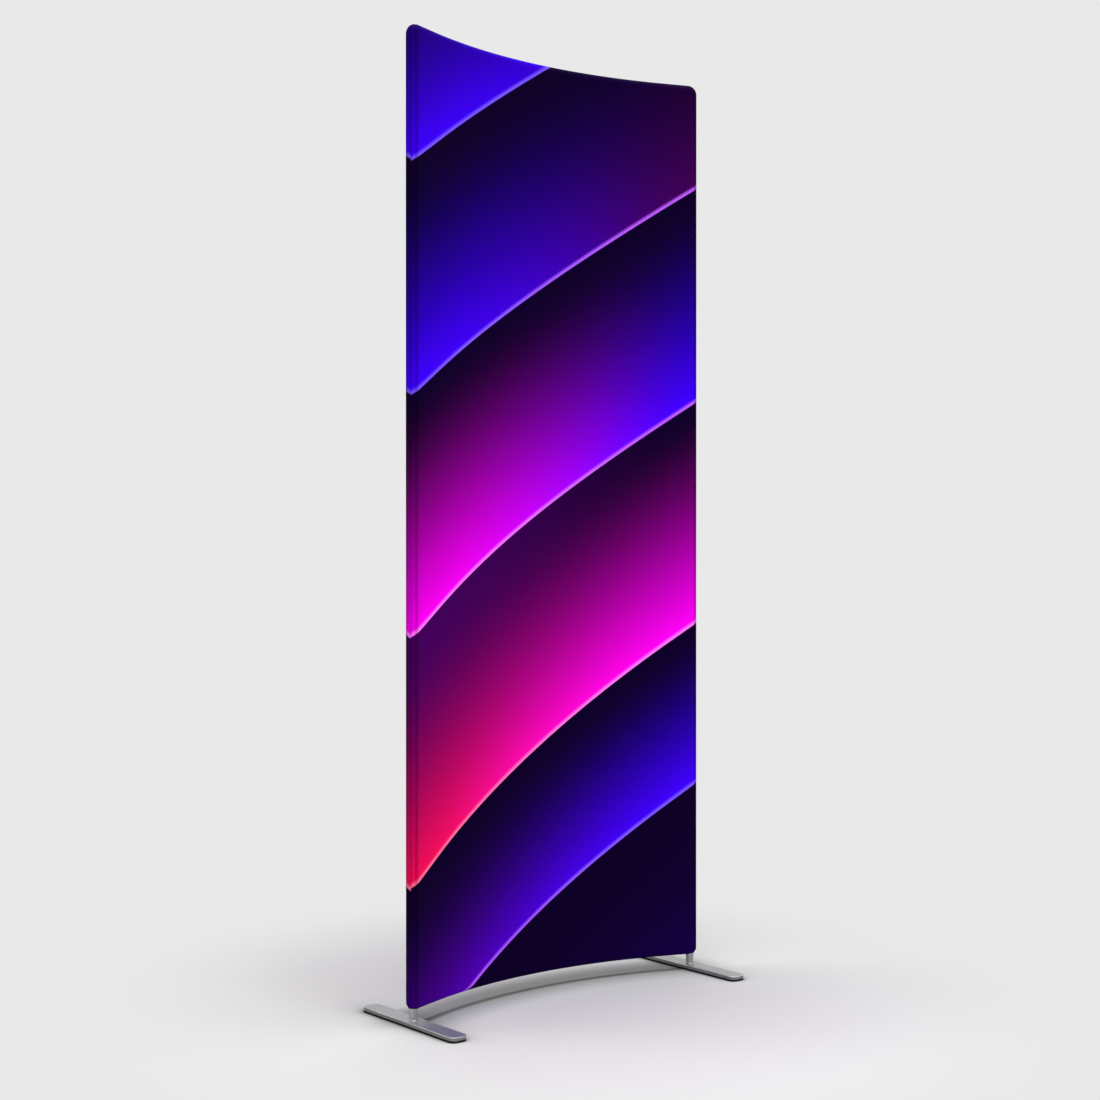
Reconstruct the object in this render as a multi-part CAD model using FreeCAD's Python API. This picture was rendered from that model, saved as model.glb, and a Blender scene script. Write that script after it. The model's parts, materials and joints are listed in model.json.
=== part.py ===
import FreeCAD, Part
import math
import os

# Free-standing fabric display stand, bowed in plan. The origin is on the floor, midway between the two
# uprights, with X along their chord, +Y to the back, where the middle bows out, and +Z up. Millimetres.

# Overall
cloth_height = 2286.0
floor_clearance = 38.0
upright_spacing = 890.0
bow_radius = 1085.0
straight_end = 75.0
cut_overrun = 5.0

# Tubes of the frame
tube_diameter = 32.0
tube_wall = 1.5

# Fittings that join the tubes
collar_length = 26.0
spigot_end_gap = 3.0
upright_spigot_length = 60.0
spigot_wall = 3.3
spigot_clearance = 0.2
spigot_chamfer = 1.5
core_web = 4.0
top_corner_bend = 8.0
bottom_corner_bend = 1.0

# Spring buttons and the hairpin springs behind them
button_diameter = 8.0
button_proud = 2.4
button_rim = 0.7
button_clearance = 0.05
button_station_share = 0.5
flange_lip = 1.2
flange_thickness = 1.4
flange_clearance = 0.15
tube_hole_clearance = 0.3
spring_width = 6.0
spring_thickness = 0.5
spring_clearance = 0.1
spring_reach = 12.0
spring_tail = 7.0

# Blind rivets
rivet_diameter = 3.2
rivet_head_lip = 1.6
rivet_head_height = 1.3
rivet_tail_lip = 0.8
rivet_tail_length = 3.5
rivet_clearance = 0.05
rivet_setback = 14.0

# Cloth cover
cloth_thickness = 0.9
cloth_gap = 0.3
post_notch_clearance = 1.2

# Zip in the back of the cover
zip_height = 34.0
zip_setback = 35.0
slit_margin = 0.7
slit_end_gap = 1.0
tape_width = 14.0
tape_thickness = 0.7
tape_gap = 0.15
chain_width = 2.1
chain_proud = 0.85
stop_length = 3.0
slider_clearance = 0.3
slider_length = 11.0
slider_lip = 1.0
slider_flare = 0.6
slider_corner = 1.2
slider_top_thickness = 1.2
slider_bottom_thickness = 1.0
wedge_thickness = 1.0
wedge_length = 4.0
slider_park_gap = 1.0
bail_radius = 3.2
bail_thickness = 0.9
bail_width = 1.8
pull_bar_diameter = 1.4
pull_arm_clearance = 0.5
pull_arm_width = 1.0
pull_bail_gap = 1.2
pull_length = 26.0
pull_shoulder = 0.8
pull_thickness = 1.2
pull_eye_diameter = 2.6

# Feet
foot_length = 366.0
foot_width = 46.0
foot_corner = 15.0
plate_thickness = 8.0
plate_edge_round = 1.0
pad_thickness = 5.0
pad_inset = 0.6
post_diameter = 20.0
post_depth = 70.0
post_clearance = 0.05
post_seat_gap = 0.1
post_chamfer = 1.5
post_flare = 3.5
post_flare_height = 4.0
screw_diameter = 8.0
screw_head_diameter = 16.0
screw_head_height = 4.4
screw_reach = 22.0
screw_clearance = 0.1
screw_socket_width = 5.0
screw_socket_depth = 2.6

# Worked out from the sizes above
tube_radius = tube_diameter / 2
tube_bore = tube_radius - tube_wall
spigot_radius = tube_bore - spigot_clearance
core_radius = spigot_radius - spigot_wall
core_start = core_radius + core_web
cover_in = tube_radius + cloth_gap
cover_out = cover_in + cloth_thickness
bottom_level = floor_clearance + cover_out
top_level = floor_clearance + cloth_height - cover_out
middle_level = (bottom_level + top_level) / 2
half_span = upright_spacing / 2
end_angle = math.atan(straight_end / bow_radius)
bow_angle = math.asin(half_span / math.hypot(bow_radius, straight_end)) - end_angle
bow_degrees = math.degrees(bow_angle)
bow_centre_y = straight_end * math.sin(bow_angle) - bow_radius * math.cos(bow_angle)
post_radius = post_diameter / 2
post_bore = post_radius + post_clearance
plate_top = pad_thickness + plate_thickness
post_top = bottom_level - tube_radius + post_depth
button_radius = button_diameter / 2
flange_radius = button_radius + flange_lip
arm_spigot_length = straight_end - collar_length - spigot_end_gap
arm_button_station = collar_length + arm_spigot_length * button_station_share
upright_button_station = collar_length + upright_spigot_length * button_station_share
rivet_station = collar_length + upright_spigot_length - rivet_setback
rivet_radius = rivet_diameter / 2
post_seat = post_top - bottom_level + post_seat_gap
low_rivet_station = post_seat + core_web + rivet_setback
low_spigot_length = low_rivet_station + rivet_setback - collar_length

# Levels and depths of the zip, depths counted from the middle surface between the two cloths
zip_level = bottom_level + zip_height
row_gap = wedge_thickness + 2 * slider_clearance
tape_out = cover_in - tape_gap
tape_in = tape_out - tape_thickness
chain_out = cover_out + chain_proud
chain_edge = row_gap / 2 + chain_width
slit_edge = chain_edge + slit_margin
lip_start = chain_edge + slider_clearance
slider_tail = lip_start + slider_lip
slider_mouth = slider_tail + slider_flare
zip_radius = bow_radius + tape_out
zip_half_length = bow_angle * zip_radius - zip_setback
zip_degrees = math.degrees(zip_half_length / zip_radius)
stop_degrees = math.degrees(stop_length / zip_radius)
slit_degrees = math.degrees((zip_half_length + stop_length + slit_end_gap) / zip_radius)
slider_top = chain_out + slider_clearance
bail_foot = slider_top + slider_top_thickness
pull_axis = bail_foot + (bail_radius - bail_thickness) / 2
slider_degrees = math.degrees((zip_half_length - slider_park_gap - slider_length / 2) / zip_radius)

origin = FreeCAD.Vector(0, 0, 0)
along_x = FreeCAD.Vector(1, 0, 0)
along_y = FreeCAD.Vector(0, 1, 0)
up = FreeCAD.Vector(0, 0, 1)
down = FreeCAD.Vector(0, 0, -1)
bow_centre = FreeCAD.Vector(0, bow_centre_y, 0)
left, right = -1, 1
front, back = -1, 1
full_turn = 360
half_turn = 180
quarter_turn = 90
diagonal_share = math.sqrt(1 / 2)


# Helpers

def closed_face(points):
    """Flat face round a closed outline; an item (middle, end) is an arc, any other item a straight line."""
    edges = []
    here = points[0]
    for item in points[1:] + [points[0]]:
        if isinstance(item, tuple):
            middle, end = item
            edges.append(Part.Arc(here, middle, end).toShape())
        else:
            end = item
            if here.distanceToPoint(end) > 0:
                edges.append(Part.LineSegment(here, end).toShape())
        here = end
    return Part.Face(Part.Wire(edges))


def turned(profile):
    """Solid of revolution about Z from (radius, height) points; a pair of points is an arc."""
    points = []
    for item in profile:
        if isinstance(item[0], tuple):
            (mid_r, mid_z), (end_r, end_z) = item
            points.append((FreeCAD.Vector(mid_r, 0, mid_z), FreeCAD.Vector(end_r, 0, end_z)))
        else:
            points.append(FreeCAD.Vector(item[0], 0, item[1]))
    return closed_face(points).revolve(origin, up, full_turn)


def box(low, high):
    """Block between two opposite corners."""
    size = high - low
    return Part.makeBox(size.x, size.y, size.z, low)


def dome_middle(rim_radius, rim_height, crown_height):
    """Point half-way along the arc of a dome, from its rim to the crown on the axis."""
    rise = crown_height - rim_height
    ball_radius = (rim_radius ** 2 + rise ** 2) / (2 * rise)
    half_angle = math.asin(rim_radius / ball_radius) / 2
    centre = crown_height - ball_radius
    return ball_radius * math.sin(half_angle), centre + ball_radius * math.cos(half_angle)


def placed(shape, *placements):
    """Copy of a shape, moved by each placement in turn, the first one first."""
    for placement in placements:
        shape = shape.transformed(placement.toMatrix(), True)
    return shape


def joined(pieces):
    """One solid from pieces that meet face to face or overlap."""
    return pieces[0].multiFuse(pieces[1:]).removeSplitter()


def side_frame(side, level):
    """Place on an upright's axis: local X runs inwards along the rail's straight end, local Z is up."""
    turn = bow_degrees if side == left else half_turn - bow_degrees
    return FreeCAD.Placement(FreeCAD.Vector(side * half_span, 0, level), FreeCAD.Rotation(up, turn))


def socket_frame(axis, facing):
    """Place of a spigot: local Z runs out along it, local X points at its button or rivet."""
    return FreeCAD.Placement(origin, FreeCAD.Rotation(facing, axis.cross(facing), axis, "ZXY"))


def bow_frame(degrees, level):
    """Place on the bow: local X along the rail, local Y out to the back from its centreline."""
    turn = FreeCAD.Rotation(up, -degrees)
    return FreeCAD.Placement(bow_centre + turn.multVec(along_y) * bow_radius + up * level, turn)


arm_up = socket_frame(along_x, up)
arm_down = socket_frame(along_x, down)
riser = socket_frame(up, along_x)
dropper = socket_frame(down, along_x)


# Spigots, with what locks them in a tube, along local Z

def spigot(length):
    """Plain round peg from the fitting's centre to its chamfered tip."""
    tip = collar_length + length
    return turned([
        (0, 0),
        (spigot_radius, 0),
        (spigot_radius, tip - spigot_chamfer),
        (spigot_radius - spigot_chamfer, tip),
        (0, tip),
    ])


def core(start, length):
    """Hollow of a spigot, open at its tip."""
    return Part.makeCylinder(core_radius, collar_length + length + cut_overrun - start, up * start)


def cross_hole(radius, station):
    """Hole through one wall, towards local X."""
    return Part.makeCylinder(radius, tube_radius + cut_overrun, up * station, along_x)


def to_facing(shape, station):
    """Moves a turned piece from the Z axis onto the hole towards local X."""
    return placed(shape, FreeCAD.Placement(up * station, FreeCAD.Rotation(along_y, quarter_turn)))


def flange_top():
    """Height at which the flange's edge meets the round wall of the core."""
    return math.sqrt(core_radius ** 2 - flange_radius ** 2) - flange_clearance


def button(station):
    """Domed lock button with a flange that stops it inside the spigot."""
    seat = flange_top()
    crown = tube_radius + button_proud
    rim = tube_radius + button_rim
    return to_facing(turned([
        (0, seat - flange_thickness),
        (flange_radius, seat - flange_thickness),
        (flange_radius, seat),
        (button_radius, seat),
        (button_radius, rim),
        (dome_middle(button_radius, rim, crown), (0, crown)),
    ]), station)


def hairpin(station):
    """Flat spring strip folded on itself: one leg under the button, the other on the far wall."""
    high = flange_top() - flange_thickness - spring_clearance
    low = spring_clearance - math.sqrt(core_radius ** 2 - (spring_width / 2) ** 2)
    bend = station - spring_reach
    tail = station + spring_tail
    middle = (high + low) / 2
    outer = (high - low) / 2
    side = -along_y * (spring_width / 2)

    def at(height, along):
        return along_x * height + up * along + side

    inner = outer - spring_thickness
    strip = closed_face([
        at(high, tail),
        at(high, bend),
        (at(middle, bend - outer), at(low, bend)),
        at(low, tail),
        at(low + spring_thickness, tail),
        at(low + spring_thickness, bend),
        (at(middle, bend - inner), at(high - spring_thickness, bend)),
        at(high - spring_thickness, tail),
    ])
    return strip.extrude(along_y * spring_width)


def rivet(station):
    """Blind rivet: low domed head on the tube, bulbed tail inside the spigot."""
    tail_radius = rivet_radius + rivet_tail_lip
    tail_top = math.sqrt(core_radius ** 2 - tail_radius ** 2) - rivet_clearance
    head_radius = rivet_radius + rivet_head_lip
    crown = tube_radius + rivet_head_height
    return to_facing(turned([
        (0, tail_top - rivet_tail_length),
        (tail_radius, tail_top - rivet_tail_length),
        (tail_radius, tail_top),
        (rivet_radius, tail_top),
        (rivet_radius, tube_radius),
        (head_radius, tube_radius),
        (dome_middle(head_radius, tube_radius, crown), (0, crown)),
    ]), station)


button_hole = button_radius + button_clearance
tube_button_hole = button_radius + tube_hole_clearance
rivet_hole = rivet_radius + rivet_clearance


# Fittings, in the local place of an upright: arm along X, uprights along Z

def corner_shell(bend):
    """Round elbow of the tube's size, from the upright above to the arm beside it."""
    half_chord = math.sqrt(tube_radius ** 2 - bend ** 2)
    section = closed_face([
        FreeCAD.Vector(bend, -half_chord, bend),
        (FreeCAD.Vector(-tube_radius, 0, bend), FreeCAD.Vector(bend, half_chord, bend)),
    ])
    elbow = section.revolve(FreeCAD.Vector(bend, 0, bend), along_y, -quarter_turn)
    upright = Part.makeCylinder(tube_radius, collar_length - bend, up * bend)
    arm = Part.makeCylinder(tube_radius, collar_length - bend, along_x * bend, along_x)
    return joined([elbow, upright, arm])


def arm_cuts(frame):
    """Core and button hole of the arm's spigot."""
    cuts = [core(core_start, arm_spigot_length), cross_hole(button_hole, arm_button_station)]
    return [placed(cut, frame) for cut in cuts]


def bottom_tee():
    """Lowest fitting: takes the foot's post from below, the lower tube above, the bottom rail beside it."""
    body = joined([
        corner_shell(bottom_corner_bend),
        placed(spigot(low_spigot_length), riser),
        placed(spigot(arm_spigot_length), arm_up),
    ])
    bore_start = tube_radius + cut_overrun
    cuts = arm_cuts(arm_up) + [
        Part.makeCylinder(post_bore, post_seat + bore_start, down * bore_start),
        placed(core(post_seat + core_web, low_spigot_length), riser),
        placed(cross_hole(rivet_hole, low_rivet_station), riser),
    ]
    return body.cut(cuts)


def middle_tee():
    """Fitting at half height: riveted in the lower tube, carries the upper tube and the brace."""
    body = joined([
        Part.makeCylinder(tube_radius, 2 * collar_length, down * collar_length),
        Part.makeCylinder(tube_radius, collar_length, origin, along_x),
        placed(spigot(upright_spigot_length), riser),
        placed(spigot(upright_spigot_length), dropper),
        placed(spigot(arm_spigot_length), arm_down),
    ])
    cuts = arm_cuts(arm_down) + [
        placed(core(core_web, upright_spigot_length), riser),
        placed(core(core_web, upright_spigot_length), dropper),
        placed(cross_hole(button_hole, upright_button_station), riser),
        placed(cross_hole(rivet_hole, rivet_station), dropper),
    ]
    return body.cut(cuts)


def top_corner():
    """Rounded corner: riveted in the upper tube, carries the top rail."""
    body = joined([
        corner_shell(top_corner_bend).mirror(origin, up),
        placed(spigot(upright_spigot_length), dropper),
        placed(spigot(arm_spigot_length), arm_down),
    ])
    cuts = arm_cuts(arm_down) + [
        placed(core(core_start, upright_spigot_length), dropper),
        placed(cross_hole(rivet_hole, rivet_station), dropper),
    ]
    return body.cut(cuts)


# Tubes

def upright_tube(low, high):
    """Straight tube between two levels on the upright's axis."""
    length = high - low
    outside = Part.makeCylinder(tube_radius, length, up * low)
    inside = Part.makeCylinder(tube_bore, length + 2 * cut_overrun, up * (low - cut_overrun))
    return outside.cut(inside)


def bow_bar(radius, reach):
    """Round bar along a rail's centreline at floor level, its straight ends reaching out from the bow."""
    start = bow_frame(-bow_degrees, 0)
    along = start.Rotation.multVec(along_x)
    section = Part.Face(Part.Wire(Part.makeCircle(radius, start.Base, along)))
    pieces = [section.revolve(bow_centre, up, -2 * bow_degrees)]
    for side in (left, right):
        end = bow_frame(side * bow_degrees, 0)
        pieces.append(Part.makeCylinder(radius, reach, end.Base, end.Rotation.multVec(along_x * side)))
    return joined(pieces)


def rail(level, arm):
    """Bowed tube from fitting to fitting, with a button hole near each end."""
    reach = straight_end - collar_length
    tube = bow_bar(tube_radius, reach).cut(bow_bar(tube_bore, reach + cut_overrun))
    tube.translate(up * level)
    hole = cross_hole(tube_button_hole, arm_button_station)
    return tube.cut([placed(hole, arm, side_frame(side, level)) for side in (left, right)])


# Cloth cover: a front and a back shell that meet on the middle surface

def roll_section(foot, outward, depth):
    """Quarter ring of cloth round an edge of the middle surface, from that surface to the face."""
    diagonal = (outward + depth).normalize()
    return closed_face([
        foot + outward * cover_out,
        (foot + diagonal * cover_out, foot + depth * cover_out),
        foot + depth * cover_in,
        (foot + diagonal * cover_in, foot + outward * cover_in),
    ])


def cover_end(depth):
    """Cloth past the bow: the flat end and the roll round its bottom, its upright side and its top."""
    low, high = bottom_level, top_level
    bottom_bend, top_bend = bottom_corner_bend, top_corner_bend
    sideways = along_x * -1
    swing_share = 1 - diagonal_share

    def at(x, z):
        return FreeCAD.Vector(x, 0, z)

    bottom_start = at(bottom_bend, low)
    bottom_end = at(0, low + bottom_bend)
    bottom_middle = at(bottom_bend * swing_share, low + bottom_bend * swing_share)
    top_start = at(0, high - top_bend)
    top_end = at(top_bend, high)
    top_middle = at(top_bend * swing_share, high - top_bend * swing_share)
    face = closed_face([
        at(straight_end, low),
        bottom_start,
        (bottom_middle, bottom_end),
        top_start,
        (top_middle, top_end),
        at(straight_end, high),
    ])
    face.translate(depth * cover_in)
    bottom_roll = roll_section(bottom_start, down, depth)
    top_roll = roll_section(top_start, sideways, depth)
    return [
        face.extrude(depth * cloth_thickness),
        bottom_roll.extrude(along_x * (straight_end - bottom_bend)),
        bottom_roll.revolve(at(bottom_bend, low + bottom_bend), along_y, quarter_turn),
        roll_section(bottom_end, sideways, depth).extrude(top_start - bottom_end),
        top_roll.revolve(at(top_bend, high - top_bend), along_y, quarter_turn),
        roll_section(top_end, up, depth).extrude(along_x * (straight_end - top_bend)),
    ]


def cover(face):
    """Front or back cloth, with its rolled edges and a notch round each foot's post."""
    start = bow_frame(-bow_degrees, 0)
    depth = start.Rotation.multVec(along_y * face)
    low = start.Base + up * bottom_level
    high = start.Base + up * top_level
    sections = [
        roll_section(low, down, depth),
        closed_face([
            low + depth * cover_in,
            low + depth * cover_out,
            high + depth * cover_out,
            high + depth * cover_in,
        ]),
        roll_section(high, up, depth),
    ]
    pieces = [section.revolve(bow_centre, up, -2 * bow_degrees) for section in sections]
    for side in (left, right):
        ends = cover_end(along_y * (-face * side))
        pieces += [placed(piece, side_frame(side, 0)) for piece in ends]
    notch_depth = cover_out + cut_overrun
    notch_radius = post_radius + post_notch_clearance
    notch = Part.makeCylinder(notch_radius, notch_depth, down * notch_depth)
    return joined(pieces).cut([placed(notch, side_frame(side, bottom_level)) for side in (left, right)])


# Zip, low in the back cloth, concentric with the bow

def bow_strip(depth_in, depth_out, low, high, degrees_from, degrees_to):
    """Strip of a ring round the bow's axis, between two depths, two heights and two angles."""
    start = bow_frame(degrees_from, zip_level)
    section = closed_face([
        start.multVec(FreeCAD.Vector(0, depth_in, low)),
        start.multVec(FreeCAD.Vector(0, depth_out, low)),
        start.multVec(FreeCAD.Vector(0, depth_out, high)),
        start.multVec(FreeCAD.Vector(0, depth_in, high)),
    ])
    return section.revolve(bow_centre, up, degrees_from - degrees_to)


def zip_strip(depth_in, depth_out, start, width, half):
    """Strip along the whole zip, above or below its middle line, which start is counted from."""
    low, high = sorted((half * start, half * (start + width)))
    return bow_strip(depth_in, depth_out, low, high, -zip_degrees, zip_degrees)


def zip_stops():
    """Block at each end of the zip that closes both rows."""
    ends = ((-zip_degrees - stop_degrees, -zip_degrees), (zip_degrees, zip_degrees + stop_degrees))
    return [bow_strip(tape_in, chain_out, -chain_edge, chain_edge, first, last) for first, last in ends]


def slider_plate(depth, thickness):
    """Plate of the slider, wide at the mouth, narrow at the tail, with rounded corners."""
    end = slider_length / 2
    face = closed_face([
        FreeCAD.Vector(end, depth, -slider_mouth),
        FreeCAD.Vector(end, depth, slider_mouth),
        FreeCAD.Vector(-end, depth, slider_tail),
        FreeCAD.Vector(-end, depth, -slider_tail),
    ])
    plate = face.extrude(along_y * thickness)
    corners = [edge for edge in plate.Edges if edge.BoundBox.YLength > thickness / 2]
    return plate.makeFillet(slider_corner, corners)


def zip_slider():
    """Slider: two plates joined by a wedge between the rows, edge lips, and the bail for the pull."""
    top_plate = slider_plate(slider_top, slider_top_thickness)
    bottom_depth = tape_in - slider_clearance - slider_bottom_thickness
    bottom_plate = slider_plate(bottom_depth, slider_bottom_thickness)
    wedge_half = wedge_thickness / 2
    wedge_low = bottom_depth + slider_bottom_thickness / 2
    wedge = box(
        FreeCAD.Vector(-wedge_length / 2, wedge_low, -wedge_half),
        FreeCAD.Vector(wedge_length / 2, slider_top + slider_top_thickness / 2, wedge_half),
    )
    lip_low = cover_out + slider_clearance
    lip_reach = slider_length / 2 - slider_corner
    lips = [
        box(
            FreeCAD.Vector(-lip_reach, lip_low, min(half * lip_start, half * slider_tail)),
            FreeCAD.Vector(lip_reach, slider_top, max(half * lip_start, half * slider_tail)),
        )
        for half in (-1, 1)
    ]
    bail_ring = Part.makeCylinder(bail_radius, bail_width, origin, up, half_turn)
    bail_eye = Part.makeCylinder(bail_radius - bail_thickness, bail_width, origin, up, half_turn)
    bail = bail_ring.cut(bail_eye)
    bail.translate(FreeCAD.Vector(0, bail_foot, -bail_width / 2))
    return joined([top_plate, bottom_plate, wedge, bail] + lips)


def zip_pull():
    """Pull: a bar under the bail, two arms round it and a rounded tab with an eye."""
    bar_radius = pull_bar_diameter / 2
    arm_in = bail_width / 2 + pull_arm_clearance
    arm_out = arm_in + pull_arm_width
    half_tab = arm_out + pull_shoulder
    inner_reach = bail_radius + pull_bail_gap
    thick = along_y * pull_thickness
    tab_middle = pull_length - half_tab
    tab = closed_face([
        FreeCAD.Vector(-inner_reach, 0, arm_out),
        FreeCAD.Vector(-inner_reach - half_tab, 0, half_tab),
        FreeCAD.Vector(-tab_middle, 0, half_tab),
        (FreeCAD.Vector(-pull_length, 0, 0), FreeCAD.Vector(-tab_middle, 0, -half_tab)),
        FreeCAD.Vector(-inner_reach - half_tab, 0, -half_tab),
        FreeCAD.Vector(-inner_reach, 0, -arm_out),
    ]).extrude(thick)
    arms = [
        box(
            FreeCAD.Vector(-inner_reach, 0, min(half * arm_in, half * arm_out)),
            FreeCAD.Vector(0, pull_thickness, max(half * arm_in, half * arm_out)),
        )
        for half in (-1, 1)
    ]
    bar = Part.makeCylinder(bar_radius, 2 * arm_out, FreeCAD.Vector(0, pull_thickness / 2, -arm_out))
    eye = Part.makeCylinder(pull_eye_diameter / 2, pull_thickness, along_x * -tab_middle, along_y)
    pull = joined([tab, bar] + arms).cut(eye)
    pull.translate(along_y * (pull_axis - pull_thickness / 2))
    return pull


# Feet, in the local place of a post at the origin

def foot_outline(inset):
    """Rounded bar seen from above, drawn in all round by an inset."""
    half_x = foot_width / 2 - inset
    half_y = foot_length / 2 - inset
    round_off = foot_corner - inset
    swing = round_off * diagonal_share
    points = [FreeCAD.Vector(half_x, -half_y + round_off, 0)]
    for sign_x, sign_y, along_first in ((1, 1, True), (-1, 1, False), (-1, -1, True), (1, -1, False)):
        centre = FreeCAD.Vector(sign_x * (half_x - round_off), sign_y * (half_y - round_off), 0)
        on_side = centre + along_x * (sign_x * round_off)
        on_end = centre + along_y * (sign_y * round_off)
        middle = centre + FreeCAD.Vector(sign_x * swing, sign_y * swing, 0)
        first, last = (on_side, on_end) if along_first else (on_end, on_side)
        points += [first, (middle, last)]
    return closed_face(points)


def foot_plate():
    """Flat metal bar with softened top edges and a countersunk hole from below."""
    bar = foot_outline(0).extrude(up * plate_thickness)
    rim = [edge for edge in bar.Edges if edge.BoundBox.ZMin > plate_thickness / 2]
    bar = bar.makeFillet(plate_edge_round, rim)
    hole_radius = screw_diameter / 2 + screw_clearance
    head_radius = screw_head_diameter / 2 + screw_clearance
    sink = turned([
        (0, -cut_overrun),
        (head_radius, -cut_overrun),
        (head_radius, 0),
        (hole_radius, screw_head_height),
        (hole_radius, plate_thickness + cut_overrun),
        (0, plate_thickness + cut_overrun),
    ])
    plate = bar.cut(sink)
    plate.translate(up * pad_thickness)
    return plate


def foot_pad():
    """Rubber sheet under the whole bar."""
    return foot_outline(pad_inset).extrude(up * pad_thickness)


def foot_post():
    """Turned post with a hollow flare at its foot, tapped from below."""
    flare = post_radius + post_flare
    flare_top = plate_top + post_flare_height
    swing_share = 1 - diagonal_share
    flare_middle = (post_radius + post_flare * swing_share, plate_top + post_flare_height * swing_share)
    body = turned([
        (0, plate_top),
        (flare, plate_top),
        (flare_middle, (post_radius, flare_top)),
        (post_radius, post_top - post_chamfer),
        (post_radius - post_chamfer, post_top),
        (0, post_top),
    ])
    hole_radius = screw_diameter / 2 + screw_clearance
    return body.cut(Part.makeCylinder(hole_radius, screw_reach + screw_clearance, up * plate_top))


def foot_screw():
    """Countersunk screw up through the bar into the post, with a hexagon socket."""
    seat = pad_thickness
    shank_radius = screw_diameter / 2
    body = turned([
        (0, seat),
        (screw_head_diameter / 2, seat),
        (shank_radius, seat + screw_head_height),
        (shank_radius, plate_top + screw_reach),
        (0, plate_top + screw_reach),
    ])
    sides = 6
    corner = screw_socket_width / 2 / math.cos(math.pi / sides)
    turns = [2 * math.pi * index / sides for index in range(sides)]
    points = [FreeCAD.Vector(corner * math.cos(turn), corner * math.sin(turn), seat) for turn in turns]
    return body.cut(closed_face(points).extrude(up * screw_socket_depth))


# Every piece in its place

nodes = {
    "top_rail": rail(top_level, arm_down),
    "middle_brace": rail(middle_level, arm_down),
    "bottom_rail": rail(bottom_level, arm_up),
}
springs = []
rivets = []
lower_tube = upright_tube(bottom_level + collar_length, middle_level - collar_length)
upper_tube = upright_tube(middle_level + collar_length, top_level - collar_length)
for name, side in (("left", left), ("right", right)):
    floor = side_frame(side, 0)
    low = side_frame(side, bottom_level)
    middle = side_frame(side, middle_level)
    high = side_frame(side, top_level)

    nodes[name + "_bottom_tee"] = placed(bottom_tee(), low)
    nodes[name + "_middle_tee"] = placed(middle_tee(), middle)
    nodes[name + "_top_corner"] = placed(top_corner(), high)

    upright_button_hole = placed(cross_hole(tube_button_hole, upright_button_station), riser, middle)
    tube_rivet = cross_hole(rivet_hole, rivet_station)
    low_rivet = placed(cross_hole(rivet_hole, low_rivet_station), riser, low)
    middle_rivet = placed(tube_rivet, dropper, middle)
    high_rivet = placed(tube_rivet, dropper, high)
    nodes[name + "_lower_tube"] = placed(lower_tube, floor).cut([low_rivet, middle_rivet])
    nodes[name + "_upper_tube"] = placed(upper_tube, floor).cut([upright_button_hole, high_rivet])

    for station, frames in (
        (low_rivet_station, (riser, low)),
        (rivet_station, (dropper, middle)),
        (rivet_station, (dropper, high)),
    ):
        rivets.append(placed(rivet(station), *frames))
    for label, station, frames in (
        ("top_rail_button", arm_button_station, (arm_down, high)),
        ("upright_button", upright_button_station, (riser, middle)),
        ("brace_button", arm_button_station, (arm_down, middle)),
        ("bottom_rail_button", arm_button_station, (arm_up, low)),
    ):
        nodes[name + "_" + label] = placed(button(station), *frames)
        springs.append(placed(hairpin(station), *frames))

    stand = FreeCAD.Placement(FreeCAD.Vector(side * half_span, 0, 0), FreeCAD.Rotation())
    nodes[name + "_foot_plate"] = placed(foot_plate(), stand)
    nodes[name + "_foot_pad"] = placed(foot_pad(), stand)
    nodes[name + "_foot_post"] = placed(foot_post(), stand)
    nodes[name + "_foot_screw"] = placed(foot_screw(), stand)

nodes["rivets"] = Part.makeCompound(rivets)
nodes["snap_springs"] = Part.makeCompound(springs)

slit = bow_strip(0, cover_out + cut_overrun, -slit_edge, slit_edge, -slit_degrees, slit_degrees)
nodes["front_fabric"] = cover(front)
nodes["back_fabric"] = cover(back).cut(slit)

halves = (-1, 1)
tapes = [zip_strip(tape_in, tape_out, row_gap / 2, tape_width, half) for half in halves]
rows = [zip_strip(tape_out, chain_out, row_gap / 2, chain_width, half) for half in halves]
park = bow_frame(slider_degrees, zip_level)
nodes["zip_tapes"] = Part.makeCompound(tapes)
nodes["zip_chain"] = Part.makeCompound(rows)
nodes["zip_stops"] = Part.makeCompound(zip_stops())
nodes["zip_slider"] = placed(zip_slider(), park)
nodes["zip_pull"] = placed(zip_pull(), park)

os.makedirs("parts", exist_ok=True)
for node, shape in nodes.items():
    shape.exportStep("parts/" + node + ".step")
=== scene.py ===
import json
import math

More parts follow.
